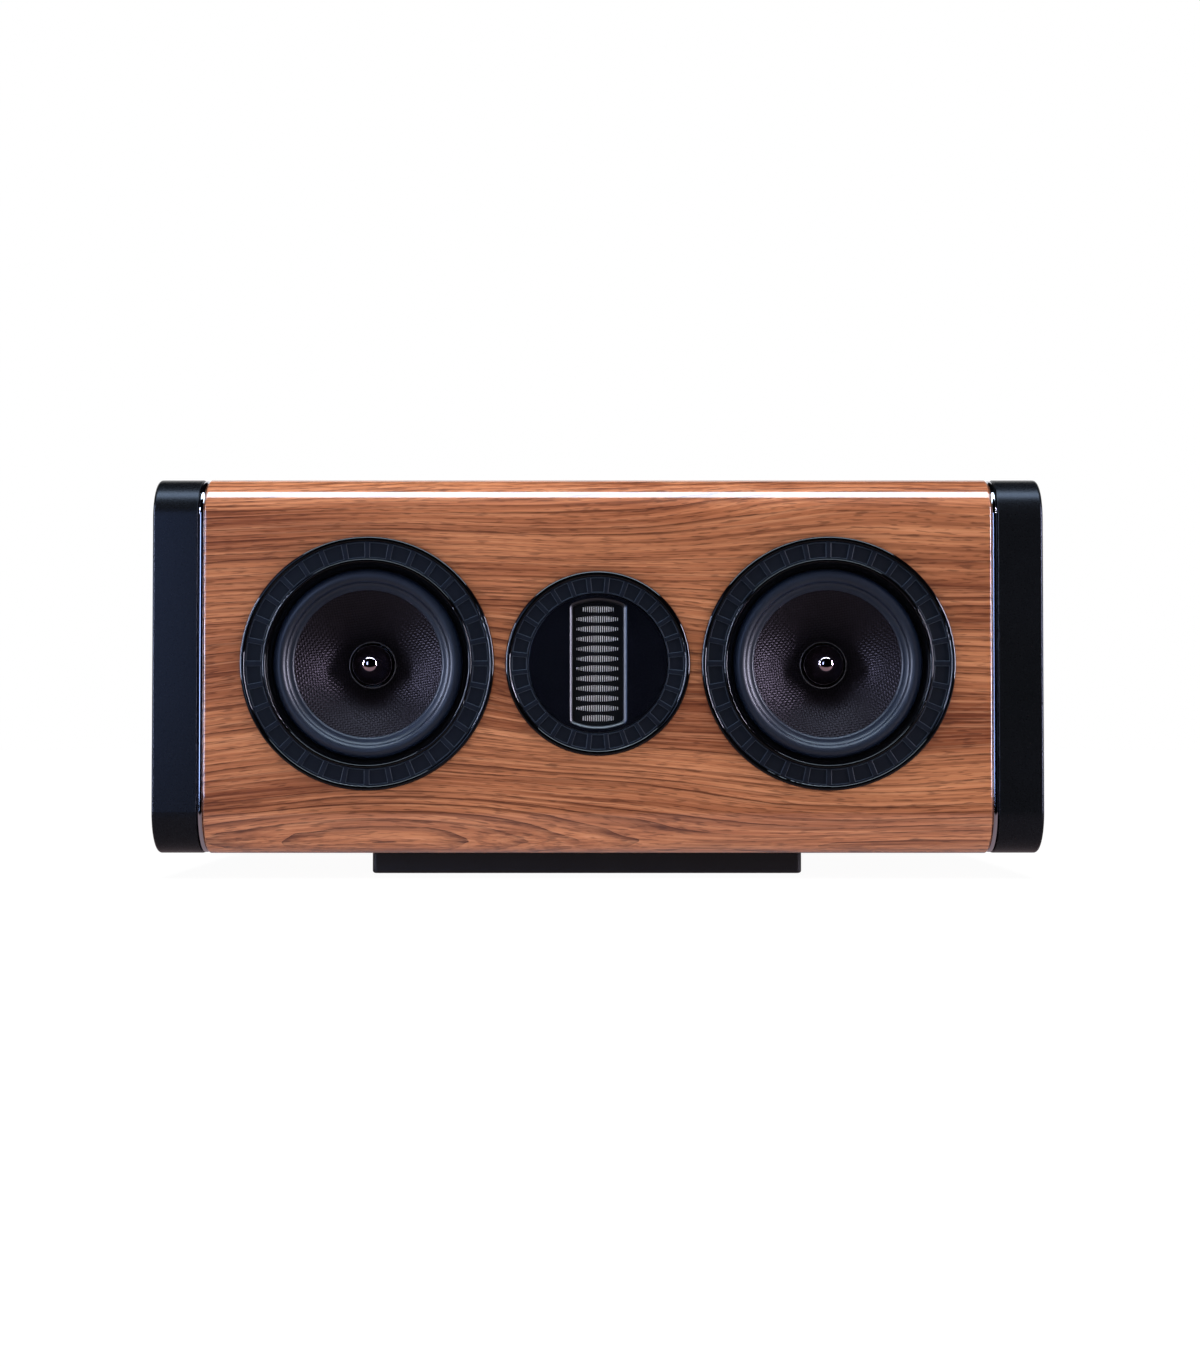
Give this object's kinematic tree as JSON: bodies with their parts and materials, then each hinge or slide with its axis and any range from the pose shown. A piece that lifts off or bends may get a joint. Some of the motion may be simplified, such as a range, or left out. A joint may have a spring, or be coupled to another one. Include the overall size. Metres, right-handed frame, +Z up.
{
  "type": "center channel speaker",
  "caption": "Wide centre speaker: rounded walnut cabinet with black end caps and polished bands, woven-cone woofers either side of a slotted pleated tweeter, on a low set-back plinth",
  "frame": {"origin": "on the shelf, under the middle of the cabinet's width and depth (the plinth's underside)", "axes": "+X along the width to the right as seen from the front, -Y out of the front, +Z up"},
  "size_m": [0.62, 0.341, 0.2812],
  "materials": {
    "walnut": "gloss lacquer",
    "satin_black_board": "satin lacquer",
    "black_board": "satin paint",
    "raw_board": "raw board",
    "polished_band": "polished",
    "wadding": "loose fibre",
    "port_plastic": "moulded satin",
    "cast_frame": "powder coat",
    "surround_rubber": "moulded satin",
    "woven_cone": "coated weave",
    "copper": "enamelled wire",
    "spider_cloth": "pressed cloth",
    "ferrite": "ground",
    "steel": "plated",
    "gloss_black": "gloss",
    "pad_rubber": "moulded satin",
    "tweeter_plate": "satin anodised",
    "tweeter_pole": "satin paint",
    "pleated_foil": "folded foil",
    "magnet_bar": "nickel plated",
    "gasket_foam": "closed-cell foam",
    "circuit_board": "solder mask",
    "film_capacitor": "moulded",
    "cement_resistor": "matt",
    "black_screw": "blackened",
    "gold_brass": "gold plated",
    "knob_red": "clear moulded",
    "knob_black": "clear moulded"
  },
  "bodies": {
    "cabinet": {"board_spacers": "port_plastic", "brace_left": "raw_board", "brace_right": "raw_board", "cabinet_shell": "walnut", "capacitors": "film_capacitor", "crossover_board": "circuit_board", "driver_gaskets": "gasket_foam", "driver_screws": "black_screw", "end_cap_left": "satin_black_board", "end_cap_right": "satin_black_board", "inductors": "copper", "plinth": "black_board", "plinth_screws": "black_screw", "port_tube": "port_plastic", "post_black": "gold_brass", "post_red": "gold_brass", "rear_panel": "black_board", "rear_panel_screws": "black_screw", "resistors": "cement_resistor", "terminal_nuts": "gold_brass", "terminal_plate": "port_plastic", "trim_band_left": "polished_band", "trim_band_right": "polished_band", "tweeter_diaphragm": "pleated_foil", "tweeter_faceplate": "tweeter_plate", "tweeter_frame": "port_plastic", "tweeter_grille": "tweeter_pole", "tweeter_magnets": "magnet_bar", "tweeter_pad_ring": "pad_rubber", "tweeter_rear_chamber": "port_plastic", "tweeter_rear_pole": "tweeter_pole", "tweeter_trim_ring": "gloss_black", "wadding": "wadding", "woofer_left_basket": "cast_frame", "woofer_left_magnet": "ferrite", "woofer_left_pad_ring": "pad_rubber", "woofer_left_phase_plug": "gloss_black", "woofer_left_pole_yoke": "steel", "woofer_left_spider": "spider_cloth", "woofer_left_surround": "surround_rubber", "woofer_left_top_plate": "steel", "woofer_left_trim_ring": "gloss_black", "woofer_right_basket": "cast_frame", "woofer_right_magnet": "ferrite", "woofer_right_pad_ring": "pad_rubber", "woofer_right_phase_plug": "gloss_black", "woofer_right_pole_yoke": "steel", "woofer_right_spider": "spider_cloth", "woofer_right_surround": "surround_rubber", "woofer_right_top_plate": "steel", "woofer_right_trim_ring": "gloss_black"},
    "woofer_left_piston": {"woofer_left_cone": "woven_cone", "woofer_left_voice_coil": "copper"},
    "woofer_right_piston": {"woofer_right_cone": "woven_cone", "woofer_right_voice_coil": "copper"},
    "red_clamp": {"clamp_ring_red": "gold_brass"},
    "red_knob": {"knob_red": "knob_red"},
    "black_clamp": {"clamp_ring_black": "gold_brass"},
    "black_knob": {"knob_black": "knob_black"}
  },
  "joints": [
    {"name": "woofer_left_stroke", "type": "slide", "parent": "cabinet", "child": "woofer_left_piston", "axis": [0, -1, 0], "range_m": [-0.005, 0.005], "stiffness_N_per_m": 1000, "deforming": ["woofer_left_surround", "woofer_left_spider"]},
    {"name": "woofer_right_stroke", "type": "slide", "parent": "cabinet", "child": "woofer_right_piston", "axis": [0, -1, 0], "range_m": [-0.005, 0.005], "stiffness_N_per_m": 1000, "deforming": ["woofer_right_surround", "woofer_right_spider"]},
    {"name": "red_clamp_slide", "type": "slide", "parent": "cabinet", "child": "red_clamp", "axis": [0, 1, 0], "range_m": [0, 0.004]},
    {"name": "red_knob_turn", "type": "hinge", "parent": "red_clamp", "child": "red_knob", "pos_m": [0.019, 0.172, 0.09], "axis": [0, 1, 0], "range_deg": [0, 1440]},
    {"name": "black_clamp_slide", "type": "slide", "parent": "cabinet", "child": "black_clamp", "axis": [0, 1, 0], "range_m": [0, 0.004]},
    {"name": "black_knob_turn", "type": "hinge", "parent": "black_clamp", "child": "black_knob", "pos_m": [-0.019, 0.172, 0.09], "axis": [0, 1, 0], "range_deg": [0, 1440]}
  ],
  "couplings": [
    {"joint": "red_clamp_slide", "follows": "red_knob_turn", "m_per_rad": 0.000159},
    {"joint": "black_clamp_slide", "follows": "black_knob_turn", "m_per_rad": 0.000159}
  ]
}
